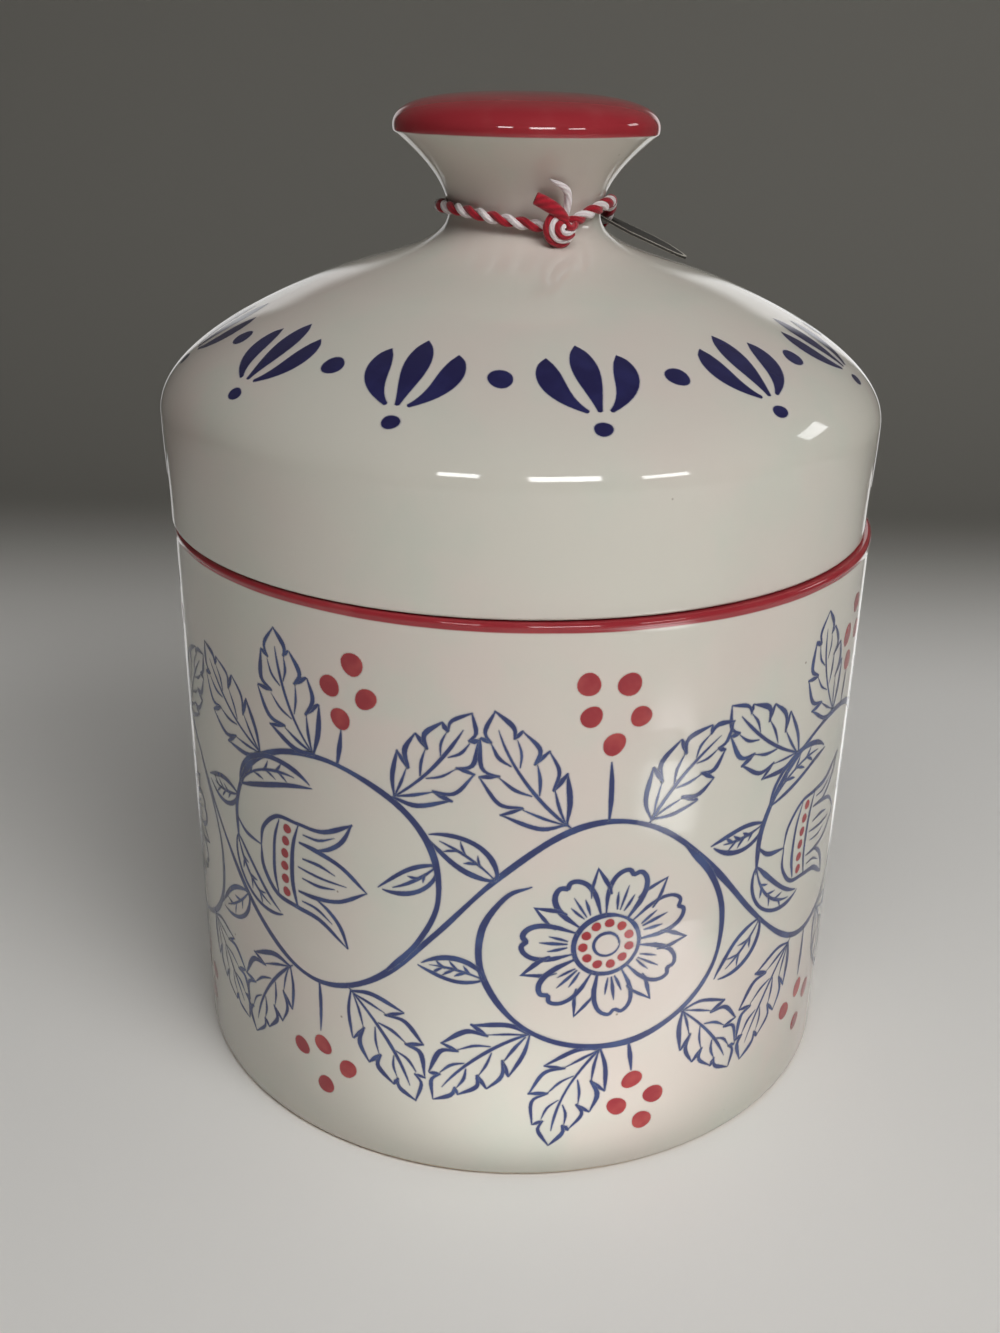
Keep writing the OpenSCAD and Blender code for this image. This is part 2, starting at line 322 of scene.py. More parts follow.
for name, (azimuth, (x, y, z), *face) in lowLamps.items():
    c, s = cosSin(azimuth)
    addLamp(name, Matrix([[c, s, 0, x], [s, -c, 0, y], [0, 0, -1, z], [0, 0, 0, 1]]), *face)

bpy.context.scene.view_settings.view_transform = "Standard"
print("studio ready")


glaze = {
    "white": tone(206, 202, 191), "warm": tone(209, 198, 189), "cool": tone(199, 201, 189),
    "speck": tone(112, 96, 78), "clay": tone(201, 182, 158), "red": tone(153, 47, 54),
    "redThin": tone(175, 83, 84), "gloss": {"Specular IOR Level": 0.5, "IOR": 1.5},
    "smooth": 0.05, "bare": 0.85, "soft": 0.0004, "dipWobble": 0.0012, "ripple": 0.00010,
    # noise scales per metre, and the share of the cells without a speck
    "mottle": 15.0, "clouds": 38.0, "cells": 190.0, "clean": 0.965, "waves": 26.0, "peel": 170.0,
    "peelShare": 0.1,
}


def glazeGroup():
    # mottle = noise of about 60 mm, cool = noise of about 25 mm, specks = centres of few Voronoi cells,
    # height = slow ripple + fine orange peel
    tree, _, out = newGroup("glazeSurface", {}, {"Colour": glaze["white"], "Height": 0.0})
    at = objectPlace(tree)
    slow, mid = noise(at, glaze["mottle"], 3.0), noise(at, glaze["clouds"], 4.0)
    colour = mixed(ramped(slow, 0.42, 0.66), glaze["white"], glaze["warm"])
    colour = mixed(ramped(mid, 0.48, 0.72, 0, 0.7), colour, glaze["cool"])
    cells = place(tree, "ShaderNodeTexVoronoi", {"Vector": at, "Scale": glaze["cells"]}).outputs
    chosen = place(tree, "ShaderNodeSeparateColor", {0: cells["Color"]}).outputs[0]
    picked = calc("GREATER_THAN", chosen, glaze["clean"])
    mask = calc("MULTIPLY", picked, ramped(cells["Distance"], 0.03, 0.09, 0.75, 0.0))
    wire(mixed(mask, colour, glaze["speck"]), out["Colour"])
    peel = calc("MULTIPLY", noise(at, glaze["peel"], 2.0), glaze["peelShare"])
    wire(calc("ADD", noise(at, glaze["waves"], 1.0), peel), out["Height"])
    return tree


def bandGroup():
    # edge of a brushed band: 0 below the given height, 1 above it, over a soft width, with a wobbling line
    tree, given, out = newGroup("brushedBand", {"Height": 0.15, "Wobble": 0.0006}, {"Mask": 0.0})
    at = objectPlace(tree)
    shift = calc("MULTIPLY", calc("SUBTRACT", noise(at, 34.0, 2.0), 0.5), given["Wobble"])
    level = calc("SUBTRACT", calc("ADD", along(at, "Z"), shift), given["Height"])
    wire(ramped(calc("DIVIDE", level, glaze["soft"]), -0.5, 0.5), out["Mask"])
    return tree


glazeNodes, bandNodes = glazeGroup(), bandGroup()


def glazed(name, redFrom, bareBelow):
    # white gloss glaze with a red band above one height, and bare clay below another
    material, tree, shader = newFinish(name, **glaze["gloss"])
    body = place(tree, "ShaderNodeGroup", node_tree=glazeNodes).outputs
    band = place(tree, "ShaderNodeGroup", {"Height": redFrom}, node_tree=bandNodes).outputs["Mask"]
    dipped = {"Height": bareBelow, "Wobble": glaze["dipWobble"]}
    covered = place(tree, "ShaderNodeGroup", dipped, node_tree=bandNodes).outputs["Mask"]
    brush = noise(objectPlace(tree), 90.0, 3.0)
    red = mixed(ramped(brush, 0.5, 0.8, 0, 0.35), glaze["red"], glaze["redThin"])
    colour = mixed(band, body["Colour"], red)
    wire(mixed(covered, glaze["clay"], colour), shader.inputs["Base Color"])
    wire(ramped(covered, 0.0, 1.0, glaze["bare"], glaze["smooth"]), shader.inputs["Roughness"])
    bumped(shader, body["Height"], glaze["ripple"])
    return material


jar = {
    "height": 152, "radius": 92.9, "taper": 1.1, "wall": 6, "floor": 7, "footRound": 2, "footRing": 8,
    "footRecess": 2, "rollRadius": 1.1, "rollOut": 0.2, "innerRound": 9,
    # heights in metres
    "redFrom": 0.1497, "bareBelow": 0.0011,
}


def jarProfile():
    # from the middle of the floor inside, up the wall, over the rolled rim, down outside and under the foot
    footR = jar["radius"] - jar["taper"]
    mouth, rollR = jar["radius"] - jar["wall"], jar["rollRadius"]
    roll = (jar["radius"] + jar["rollOut"] - rollR, jar["height"] - rollR)
    start = np.degrees(np.arccos((jar["radius"] - roll[0]) / rollR))
    inner, foot, recess = jar["innerRound"], jar["footRound"], jar["footRecess"]
    cornerR, cornerZ = footR - jar["wall"] - inner, jar["floor"] + inner
    footIn = footR - foot - jar["footRing"]
    onWall = roll[0] + rollR * np.cos(np.radians(start)), roll[1] - rollR * np.sin(np.radians(start))
    return np.vstack([
        straight((0, jar["floor"]), (cornerR, jar["floor"]), 26),
        arc((cornerR, cornerZ), inner, -90, 0, 14)[:-1],
        straight((cornerR + inner, cornerZ), (mouth, roll[1]), 60),
        arc((mouth + rollR, roll[1]), rollR, 180, 90, 12),
        arc(roll, rollR, 90, -start, 18)[:-1],
        straight(onWall, (footR, foot), 90),
        arc((footR - foot, foot), foot, 0, -90, 10),
        straight((footIn, 0), (footIn - recess, recess), 4),
        straight((footIn - recess, recess), (0, recess), 16),
        [[0, recess]],
    ])


jarWhite = glazed("jarGlaze", jar["redFrom"], jar["bareBelow"])
points, faces = turned(jarProfile())
jarShell = addPiece("jar_shell", points, faces, [jarWhite], creaseAngle=35)
standsFor(jarShell, "jar_body", "jar")
print("jar ready")


lid = {
    "base": 152.3, "shift": -1.1, "edgeRadius": 92.5, "edgeRound": 1, "shoulder": (93.2, 27.8),
    "dome": (53.9, 58.4), "waist": (19.3, 75), "lip": (33.1, 95.6), "lipLow": (32.8, 94.1), "top": 103.7,
    "slope": 22.6, "flare": 40, "wall": 6, "ringRadius": 84.5, "ringWall": 4, "ringDepth": 9, "ringRound": 1,
    # heights in metres
    "redFrom": 0.2466, "bareBelow": 0.1446,
    # how far each curve pulls along its direction before it turns
    "shoulderUp": 10.2, "domeOut": 26.2, "domeIn": 14.5, "waistDown": 8.1, "waistUp": 8.3, "flareDown": 5.3,
    "lipOut": 0.3, "lipDown": 0.75, "lipUp": 6, "crownFlat": 22, "underIn": 7.2, "hollowUp": 2, "boreEase": 2,
    # the hole up the neck and the hollow in the knob
    "bore": 12.5, "boreUp": 3, "boreDown": 12, "hollowEdge": 4,
}
shoulder, dome, waist = (np.array(lid[key]) for key in ("shoulder", "dome", "waist"))
third, downDome = np.array((0, shoulder[1] / 3)), np.array(cosSin(-lid["slope"]))


def lidOutside():
    # from the lower edge up over shoulder, dome and neck to the knob's middle, as smooth curves
    edge = np.array((lid["edgeRadius"], lid["edgeRound"]))
    lip, lipLow, underLip = np.array(lid["lip"]), np.array(lid["lipLow"]), np.array(cosSin(lid["flare"]))
    return np.vstack([
        arc(edge - (lid["edgeRound"], 0), lid["edgeRound"], -90, 0, 10)[:-1],
        bezier(edge, edge + third, shoulder - third, shoulder, 20),
        bezier(shoulder, shoulder + (0, lid["shoulderUp"]), dome + lid["domeOut"] * downDome, dome, 44),
        bezier(dome, dome - lid["domeIn"] * downDome, waist - (0, lid["waistDown"]), waist, 36),
        bezier(waist, waist + (0, lid["waistUp"]), lipLow - lid["flareDown"] * underLip, lipLow, 26),
        bezier(lipLow, lipLow + lid["lipOut"] * underLip, lip - (0, lid["lipDown"]), lip, 6),
        bezier(lip, lip + (0, lid["lipUp"]), (lid["crownFlat"], lid["top"]), (0, lid["top"]), 40),
        [[0, lid["top"]]],
    ])


def lidInside():
    # from the middle of the knob's hollow down the neck's hole, under the dome and round the locating ring
    wall, ringR, freeRound = lid["wall"], lid["ringRadius"], lid["ringRound"]
    hollowTop = np.array((0, lid["top"] - wall))
    hollow = np.array((lid["lip"][0] - 2 * wall, hollowTop[1] - lid["hollowEdge"]))
    boreHigh = np.array((lid["bore"], waist[1] + lid["boreUp"]))
    boreLow = np.array((lid["bore"], waist[1] - lid["boreDown"]))
    domeUnder = dome + wall * np.array((downDome[1], -downDome[0]))
    underOut = domeUnder + (lid["domeOut"] - wall / 2) * downDome
    shoulderIn, ringTop = shoulder - (wall, 0), np.array((ringR - lid["ringWall"], wall))
    low = freeRound - lid["ringDepth"]
    return np.vstack([
        bezier(hollowTop, (hollow[0] / 2, hollowTop[1]), hollow + (0, lid["hollowUp"]), hollow, 10),
        bezier(hollow, hollow - (wall, wall), boreHigh + (0, wall), boreHigh, 8),
        straight(boreHigh, boreLow, 6),
        bezier(boreLow, boreLow - (0, lid["boreEase"]), domeUnder - lid["underIn"] * downDome, domeUnder, 18),
        bezier(domeUnder, underOut, shoulderIn + (0, lid["shoulderUp"]), shoulderIn, 30),
        bezier(shoulderIn, shoulderIn - third, ringTop + third, ringTop, 14),
        straight(ringTop, (ringTop[0], low), 6),
        arc((ringTop[0] + freeRound, low), freeRound, 180, 270, 7),
        arc((ringR - freeRound, low), freeRound, 270, 360, 7)[:-1],
        straight((ringR, low), (ringR, 0), 4),
        straight((ringR, 0), (lid["edgeRadius"] - lid["edgeRound"], 0), 4),
    ])


# the outline from the knob's top down the outside, under the edge and up the inside to the hollow's top
outside = lidOutside() + (0, lid["base"])
inside = lidInside() + (0, lid["base"])
lidWhite = glazed("lidGlaze", lid["redFrom"], lid["bareBelow"])
points, faces = turned(np.vstack([outside[::-1], inside[::-1]]), shift=lid["shift"])
lidShell = addPiece("lid_shell", points, faces, [lidWhite], creaseAngle=35)
standsFor(lidShell, "jar_lid", "lid")
print("lid ready")


# the painting is brush lines and dots, as thin closed shapes a few hundredths of a millimetre proud
paint = {
    "blue": tone(48, 56, 100), "blueThin": tone(66, 86, 130), "blueHalo": tone(142, 153, 186),
    "navy": tone(42, 40, 78), "navyThin": tone(58, 60, 112), "navyHalo": tone(140, 146, 190),
    "red": tone(148, 44, 52), "redThin": tone(174, 72, 70), "redHalo": tone(226, 168, 156),
    "widths": {"stem": 1.5, "line": 1.2, "vein": 0.8}, "tips": (0.25, 0.12), "halo": 0.38,
    # height over the glaze, what each shape of a run lies higher than the last, the lower face's height,
    # and the step between the points of a path
    "lift": 0.03, "liftStep": 0.004, "liftRun": 13, "under": -0.03, "step": 0.9,
    # waves along a line, height and millimetres to the radian: two of its width, then two of its place
    "waves": ((0.17, 8.5), (0.08, 3.3), (0.16, 10), (0.07, 4.1)),
}


def brushGroup():
    # Edge is the distance in millimetres inside the stroke's border; the colour pools where the brush
    # turned, thins towards the border and leaves a faint halo outside it
    takes = {
        "Edge": 0.0, "Pool": 0.5, "Deep": paint["blue"], "Thin": paint["blueThin"], "Halo": paint["blueHalo"],
    }
    tree, given, out = newGroup("brushInk", takes, {"Colour": paint["blue"], "Alpha": 1.0})
    at = objectPlace(tree)
    grain = calc("SUBTRACT", noise(at, 1500.0, 2.0), 0.5)
    rough = calc("ADD", given["Edge"], calc("MULTIPLY", grain, 0.16))
    line = ramped(rough, -0.10, 0.10)
    halo = ramped(given["Edge"], -0.36, 0.0, 0.0, 0.26)
    wire(calc("MAXIMUM", line, halo), out["Alpha"])
    pool = ramped(noise(at, 120.0, 3.0), 0.42, 0.68)
    thin = calc("MULTIPLY", pool, given["Pool"])
    rim = ramped(rough, 0.0, 0.30, 0.30, 0.0)
    colour = mixed(calc("MAXIMUM", thin, rim), given["Deep"], given["Thin"])
    wire(mixed(line, given["Halo"], colour), out["Colour"])
    return tree


brushNodes = brushGroup()


def inked(name, colour, pool):
    # brush colour under the same gloss as the glaze
    material, tree, shader = newFinish(name, Roughness=glaze["smooth"], **glaze["gloss"])
    edge = place(tree, "ShaderNodeAttribute", attribute_name="edge").outputs["Fac"]
    tones = {"Deep": paint[colour], "Thin": paint[colour + "Thin"], "Halo": paint[colour + "Halo"]}
    ink = place(tree, "ShaderNodeGroup", {"Edge": edge, "Pool": pool, **tones}, node_tree=brushNodes).outputs
    wire(ink["Colour"], shader.inputs["Base Color"])
    wire(ink["Alpha"], shader.inputs["Alpha"])
    body = place(tree, "ShaderNodeGroup", node_tree=glazeNodes)
    bumped(shader, body.outputs["Height"], glaze["ripple"])
    return material


cobalt = inked("cobaltInk", "blue", 0.55)
navy = inked("navyInk", "navy", 0.25)
berryRed = inked("berryRed", "red", 0.8)


def crossways(path):
    t = unit(np.gradient(path, axis=0))
    return np.stack([-t[:, 1], t[:, 0]], 1)


def brushPath(points):
    return smoothPath(points, paint["step"])[0]


def liftOf(number):
    return paint["lift"] + paint["liftStep"] * (number % paint["liftRun"])


def brushLine(path, wide, number, onto, shake=1.0, shape=None):
    # rows of five points across the line and one below it: path + side * (-h - halo, -h, 0, h, h + halo),
    # h = half the width, which swells and thins along the line and narrows to its tips
    at = travelled(path)
    phases = chance.uniform(0, 2 * np.pi, 4)
    waves = [high * np.sin(at / long + phase) for (high, long), phase in zip(paint["waves"], phases)]
    swell = 1 + waves[0] + waves[1]
    reach = min(5.0, at[-1] * 0.45)
    first, last = paint["tips"]
    taper = np.interp(at, [0, reach], [first, 1]) * np.interp(at[-1] - at, [0, reach], [last, 1])
    half = wide / 2 * swell * taper ** 0.7 if shape is None else shape(at / at[-1]) * wide / 2
    side, halo = crossways(path), paint["halo"]
    path = path + side * (shake * (waves[2] + waves[3]))[:, None]
    ends = unit(np.stack([path[0] - path[1], path[-1] - path[-2]])) * halo
    path = np.vstack([path[:1] + ends[:1], path, path[-1:] + ends[1:]])
    side = np.vstack([side[:1], side, side[-1:]])
    half = np.concatenate([[0.02], half, [0.02]])
    offsets = np.stack([-half - halo, -half, 0 * half, half, half + halo, 0 * half], 1)
    edge = np.stack([0 * half - halo, 0 * half, half, 0 * half, 0 * half - halo, 0 * half - halo], 1)
    edge[[0, -1]] = -halo
    flat = path[:, None] + side[:, None] * offsets[..., None]
    lift = np.full(offsets.shape, liftOf(number))
    lift[:, 5] = paint["under"]
    k = np.arange(6)
    faces = [ringFaces(len(path), 6)[:, [1, 2, 3, 0]], np.array([k, ((len(path) - 1) * 6 + k)[::-1]])]
    return onto(flat.reshape(-1, 2), lift.ravel()), faces, edge.ravel()


def brushDot(spot, long, wide, turn, number, onto, count=22):
    # rings about a spot at 0.5, 0.85 and 1 of an oval's radius and the halo's, and one point below it
    a = np.linspace(0, 2 * np.pi, count, endpoint=False)
    p1, p2 = chance.uniform(0, 2 * np.pi, 2)
    uneven = 1 + 0.035 * np.sin(2 * a + p1) + 0.025 * np.sin(3 * a + p2)
    c, s = cosSin(turn)
    x, y = long * uneven * np.cos(a), wide * uneven * np.sin(a)
    oval = np.stack([x * c - y * s, x * s + y * c], 1)
    mean, halo = (long + wide) / 2, paint["halo"]
    shares = np.array([0.5, 0.85, 1.0, 1 + halo / mean])
    flat = np.array(spot) + np.vstack([(shares[:, None, None] * oval).reshape(-1, 2), [[0, 0], [0, 0]]])
    edge = np.concatenate([np.repeat((1 - shares) * mean, count), [mean, -halo]])
    top = 4 * count
    lift = np.concatenate([np.full(top + 1, liftOf(number)), [paint["under"]]])
    fans = [fanFaces(top, 0, count), fanFaces(top + 1, 3 * count, count, flip=True)]
    return onto(flat, lift), [ringFaces(4, count), *fans], edge


def painted(name, parts, finish, body):
    # many brush shapes as one piece
    points, faces, edge = joined(parts)
    piece = addPiece(name, points * mm, faces, [finish], creaseAngle=60, values={"edge": edge})
    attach(piece, body)


# the vine is laid out flat as (distance round, height) in millimetres and then wrapped round the jar
vine = {
    "radius": 92.6, "repeats": 4, "middle": 76.0, "swing": 27.0, "crestAt": 22.0, "lobes": 4,
    "branch": [(20, 17.2), (28, 7.5), (33, -5), (31.5, -19), (22.5, -30), (8, -36), (-8, -35), (-21, -27.5),
               (-28.5, -15), (-29, -2), (-23.5, 7.5), (-17.5, 10.5)],
    # leaves under the branch: where they start, heading, turn, length and width
    "under": ((22, -30, -38, -28, 31, 16), (2, -36.5, -132, 46, 33, 17), (-16, -31.5, -158, 36, 34, 16.5)),
}
roundJar = 2 * np.pi * vine["radius"]


def onJar(flat, lift):
    # angle = distance round / mean radius, radius = the wall's at that height + lift
    turn = 2 * np.pi * flat[:, 0] / roundJar - np.pi / 2
    wallHigh = jar["height"] - 2 * jar["footRound"]
    r = jar["radius"] - jar["taper"] * (1 - (flat[:, 1] - jar["footRound"]) / wallHigh) + lift
    return np.stack([r * np.cos(turn), r * np.sin(turn), flat[:, 1]], 1)


def bent(start, heading, turn, length):
    # start + the sum of (cos, sin) of a heading that turns evenly along the length, in degrees
    count = max(int(length / paint["step"]), 6)
    a = np.radians(heading + turn * np.linspace(0, 1, count))
    moves = np.stack([np.cos(a), np.sin(a)], 1) * length / (count - 1)
    return np.array(start) + np.vstack([[0, 0], np.cumsum((moves[1:] + moves[:-1]) / 2, axis=0)])


def leafHalf(wide, t):
    # half the width at the share t of a leaf's rib: w/2 sin(pi t^0.85)^0.85
    return wide / 2 * np.clip(np.sin(np.pi * t ** 0.85), 0, 1) ** 0.85


def leaf(start, heading, turn, length, wide, veins=3):
    # an edge on both sides of a bent rib, the rib itself and short side veins
    heading, turn = heading + chance.normal(0, 2.5), turn * (1 + chance.normal(0, 0.08))
    length, wide = length * (1 + chance.normal(0, 0.03)), wide * (1 + chance.normal(0, 0.04))
    rib = bent(start, heading, turn, length)
    half = leafHalf(wide, np.linspace(0, 1, len(rib)))
    side = crossways(rib)
    left, right = rib + half[:, None] * side, rib - half[:, None] * side
    lines = [(left, "line"), (right[:-1], "line"), (rib[:int(len(rib) * 0.84)], "vein")]
    for i in range(veins):
        for way in (1, -1):
            j = int(len(rib) * (0.24 + 0.5 * (i + (0.25 if way > 0 else 0)) / veins))
            onward, reach = unit(rib[j + 1] - rib[j]), half[j] * 0.62
            tip = rib[j] + onward * reach * 1.25 + way * side[j] * reach
            lines.append((brushPath([rib[j], (rib[j] + tip) / 2 + onward * reach * 0.12, tip]), "vein"))
    return lines


def lobedLeaf(start, heading, turn, length, wide):
    # a bent rib with pointed lobes on both sides: out along the leaf's edge to a tip, then a short way in
    heading, turn = heading + chance.normal(0, 2.5), turn * (1 + chance.normal(0, 0.08))
    rib = bent(start, heading, turn, length)
    side, t = crossways(rib), np.linspace(0, 1, len(rib))
    half, lobes = leafHalf(wide, t), vine["lobes"]

    def offRib(u, share):
        return np.array([np.interp(u, t, rib[:, i] + share * half * side[:, i]) for i in (0, 1)])

    lines = [(rib[:int(len(rib) * 0.88)], "vein")]
    for way in (1, -1):
        ahead = (0.03 if way > 0 else 0) * np.sin(np.pi * np.linspace(0, 1, lobes + 1))
        notches = np.linspace(0.02, 1, lobes + 1) ** 0.92 + ahead
        for i, (a, b) in enumerate(zip(notches, notches[1:])):
            tip = rib[-1] if i == lobes - 1 else offRib(b + 0.045, 1.12 * way)
            outer = [offRib(a, 0.52 * way * (i > 0)), offRib(0.6 * a + 0.4 * b, 0.95 * way), tip]
            lines.append((brushPath(outer), "line"))
            if i < lobes - 1:
                lines.append((brushPath([tip, offRib(b + 0.02, 0.78 * way), offRib(b, 0.5 * way)]), "line"))
                middle, end = offRib(0.5 * (a + b), 0.36 * way), offRib(b - 0.01, 0.55 * way)
                lines.append((brushPath([offRib(a + 0.03, 0.1 * way), middle, end]), "vein"))
    return lines


def rosette(centre, radius, petals, turn):
    # petals (1 - |t|^2.6)^0.5 about a ring of beads, with a notch, three veins each and points between them
    def polar(r, a):
        return np.array(centre) + (r * np.array([np.cos(a), np.sin(a)])).T

    eye, ring, w = radius * 0.15, radius * 0.40, np.pi / petals
    lines = [(polar(eye, np.linspace(0, 6.5, 30)), "vein"), (polar(ring, np.linspace(1, 7.45, 50)), "line")]
    beadRadius = (eye + ring) * 0.52
    beads = int(round(2 * np.pi * beadRadius / 3.3))
    dots = [(spot, 1.2, 1.2, 0) for spot in polar(beadRadius, 2 * np.pi * np.arange(beads) / beads + turn)]
    t = np.linspace(-1, 1, 34)
    for a0 in 2 * np.pi * np.arange(petals) / petals + turn + chance.normal(0, 0.02, petals):
        far = (radius - ring) * (1 + chance.normal(0, 0.02))
        r = ring + far * (1 - np.abs(t) ** 2.6) ** 0.5 * (1 - 0.10 * np.exp(-(t / 0.13) ** 2))
        lines.append((polar(r, a0 + t * w * 0.8), "line"))
        for q, top in ((-0.28, 0.5), (0, 0.66), (0.28, 0.5)):
            vein = polar(ring + far * np.array([0.12, top * 0.6, top]), a0 + q * w * np.array([0.7, 1, 1.15]))
            lines.append((brushPath(vein), "vein"))
        pointOut = ring + far * np.array([0.46, 0.6, 0.78, 1.06, 0.78, 0.6, 0.46])
        pointAt = a0 + w + w * np.array([-0.41, -0.33, -0.19, 0, 0.19, 0.33, 0.41])
        lines.append((polar(pointOut, pointAt), "line"))
    return lines, dots


def alongHeading(base, heading, spots):
    # base + spots given as (along, left of) a heading in degrees
    c, s = cosSin(heading)
    return np.array(base) + np.array(spots, float) @ np.array([[c, s], [-s, c]])


def tulip(base, heading, size):
    # a cup of pointed petals over a band of beads; its own x runs up the flower, in shares of the size
    def put(spots):
        return alongHeading(base, heading, size * np.array(spots, float))

    halfLines = [
        ([(0, 0), (0.03, 0.20), (0.20, 0.38), (0.44, 0.41), (0.70, 0.44), (0.98, 0.60)], "line"),
        ([(0.98, 0.60), (0.90, 0.42), (0.78, 0.30), (0.62, 0.22)], "line"),
        ([(0.46, 0.24), (0.66, 0.23), (0.90, 0.17), (1.14, 0.0)], "line"),
        ([(0.50, 0.33), (0.66, 0.34), (0.82, 0.42)], "vein"),
        ([(0.50, 0.09), (0.68, 0.10), (0.84, 0.07)], "vein")]
    lines = [(brushPath(put(np.array(p) * (1, way))), kind) for way in (1, -1) for p, kind in halfLines]
    for x, e in ((0.18, 0.36), (0.40, 0.405)):
        band = [(x + 0.05, e), (x, e / 2), (x - 0.01, 0), (x, -e / 2), (x + 0.05, -e)]
        lines.append((brushPath(put(band)), "line"))
    lines.append((brushPath(put([(0.45, 0), (0.7, 0.01), (0.95, 0)])), "vein"))
    return lines, [(put((0.295 + 0.28 * y * y, y)), 1.3, 1.3, 0) for y in np.linspace(-0.31, 0.31, 6)]


def berries(base, heading, spots):
    # a sprig of nearly round dots about 2.66 mm in radius, spread and shaken
    spots = np.array(spots) * 1.28 + chance.normal(0, 0.25, (len(spots), 2))
    return [(alongHeading(base, heading, spot), r * 1.07, r * 0.96, chance.uniform(0, 180))
            for spot, r in zip(spots, 2.66 + chance.normal(0, 0.08, len(spots)))]


def scroll(kind):
    # one cell under a crest at (0, swing): a branch that curls round a flower, leaves and berries outside it
    branch = smoothPath(vine["branch"][:12 - 2 * kind], 1.1)[0]

    def near(x, y):
        return branch[np.argmin(np.linalg.norm(branch - (x, y), axis=1))]

    greens, flowers, beads, fruit = [(branch, "stem")], [], [], []
    if kind == 0:
        flowers, beads = rosette((1.0, -6.5), 20.5, 7, 0.35)
    else:
        flowers, beads = tulip((-18.5, -5.5), 4, 29.5)
        greens.append((brushPath([near(-29, -10), (-25, -6.5), (-18.5, -5.5)]), "line"))
        greens += leaf(near(-26, -20), -52, 66, 30, 7.6) + leaf(near(-29, -4), 82, -82, 27, 7.4)
        greens += leaf(near(32, -14), 128, 40, 17, 6.0, 1)
    for x, y, *bend in vine["under"]:
        greens += lobedLeaf(near(x, y), *bend)
    greens += leaf(near(-28, -16), 158, 34, 17, 6.5)
    fruit += berries((9.5, -48), -84, [(0, 0), (5.4, 4.6), (5.8, -3.2), (11.4, 1.4)])
    greens.append((bent((8, -36), -78, -6, 9.5), "line"))
    greens += lobedLeaf((-9, 26), 140, -40, 35, 17) + leaf((-26, 12), 128, 34, 20, 8, 2)
    greens += lobedLeaf((9, 25.6), 40, 40, 35, 17) if kind else lobedLeaf((10, 25.2), 62, -26, 31, 15)
    greens.append((bent((0, 27.2), 88, 6, 15), "line"))
    fruit += berries((0.4, 46.5), 90, [(0, 0), (2.6, 6.1), (3.6, -5.8), (9.4, -0.6)] if kind
                     else [(0, 0), (5.6, 4.6), (4.6, -4.6), (11.0, -2.2), (11.8, 5.6)])
    return greens, flowers, beads, fruit


cellWide = roundJar / vine["repeats"] / 2
s = np.linspace(-roundJar / 2 - 1.5, roundJar / 2 + 1.5, 540)
stem = np.stack([s, vine["middle"] + vine["swing"] * np.cos(np.pi * (s - vine["crestAt"]) / cellWide)], 1)
greens, flowers, beads, fruit = [(stem, "stem")], [], [], []
for cell in range(-vine["repeats"], vine["repeats"]):
    # every second cell hangs upside down from the trough
    flip, origin = (1, 1 - 2 * (cell % 2)), (vine["crestAt"] + cell * cellWide, vine["middle"])
    for made, kept in zip(scroll(cell % 2), (greens, flowers, beads, fruit)):
        kept += [(np.array(item[0]) * flip + origin, *item[1:]) for item in made]

widths = paint["widths"]
vineLines = [brushLine(p, widths[kind], n, onJar) for n, (p, kind) in enumerate(greens)]
painted("painted_vine", vineLines, cobalt, "jar")
flowerLines = [brushLine(p, widths[kind], n + 5, onJar) for n, (p, kind) in enumerate(flowers)]
painted("painted_flowers", flowerLines, cobalt, "jar")
beadDots = [brushDot(*dot, n, onJar, 14) for n, dot in enumerate(beads)]
painted("painted_beads", beadDots, berryRed, "jar")
berryDots = [brushDot(*dot, n, onJar) for n, dot in enumerate(fruit)]
painted("painted_berries", berryDots, berryRed, "jar")
print("jar painted:", len(greens) + len(flowers), "lines,", len(beads) + len(fruit), "dots")


# the navy brush flowers on the dome are laid out as (distance round at the ring, distance up the slope)
ring = {
    "radius": 75.0, "count": 12, "start": -4.0, "size": 1.34, "wider": 1.2,
    # each stroke's place beside the flower's middle, heading, turn, length and width
    "strokes": ((0, 90, 4, 15.5, 5.2), (-1.7, 142, -62, 14, 4.7), (1.7, 38, 62, 14, 4.7)),
}
outLength = travelled(outside)
onSlope = (outside[:, 1] > lid["base"] + 30) & (outside[:, 0] > 30)
ringAt = np.interp(-ring["radius"], -outside[onSlope, 0], outLength[onSlope])


def onDome(flat, lift):
    # the lid's outline at the ring's place + distance up the slope, moved out along its normal by lift
    at = ringAt + flat[:, 1]

    def outline(far):
        return np.stack([np.interp(far, outLength, outside[:, i]) for i in (0, 1)], 1)

    slope = unit(outline(at + 0.5) - outline(at - 0.5))
    r, z = outline(at)[:, 0] + slope[:, 1] * lift, outline(at)[:, 1] - slope[:, 0] * lift
    turn = flat[:, 0] / ring["radius"] - np.pi / 2
    return np.stack([r * np.cos(turn) + lid["shift"], r * np.sin(turn), z], 1)


def drop(t):
    # a stroke's half width at the share t of its length: it swells towards the far end, which is rounded off
    body = np.clip(0.16 + 0.84 * np.sin(np.pi * np.clip(t, 0, 1) ** 1.5) ** 0.8, 0, 1)
    return body * np.interp(t, [0, 0.9, 0.97, 1], [1, 1, 0.75, 0.35])


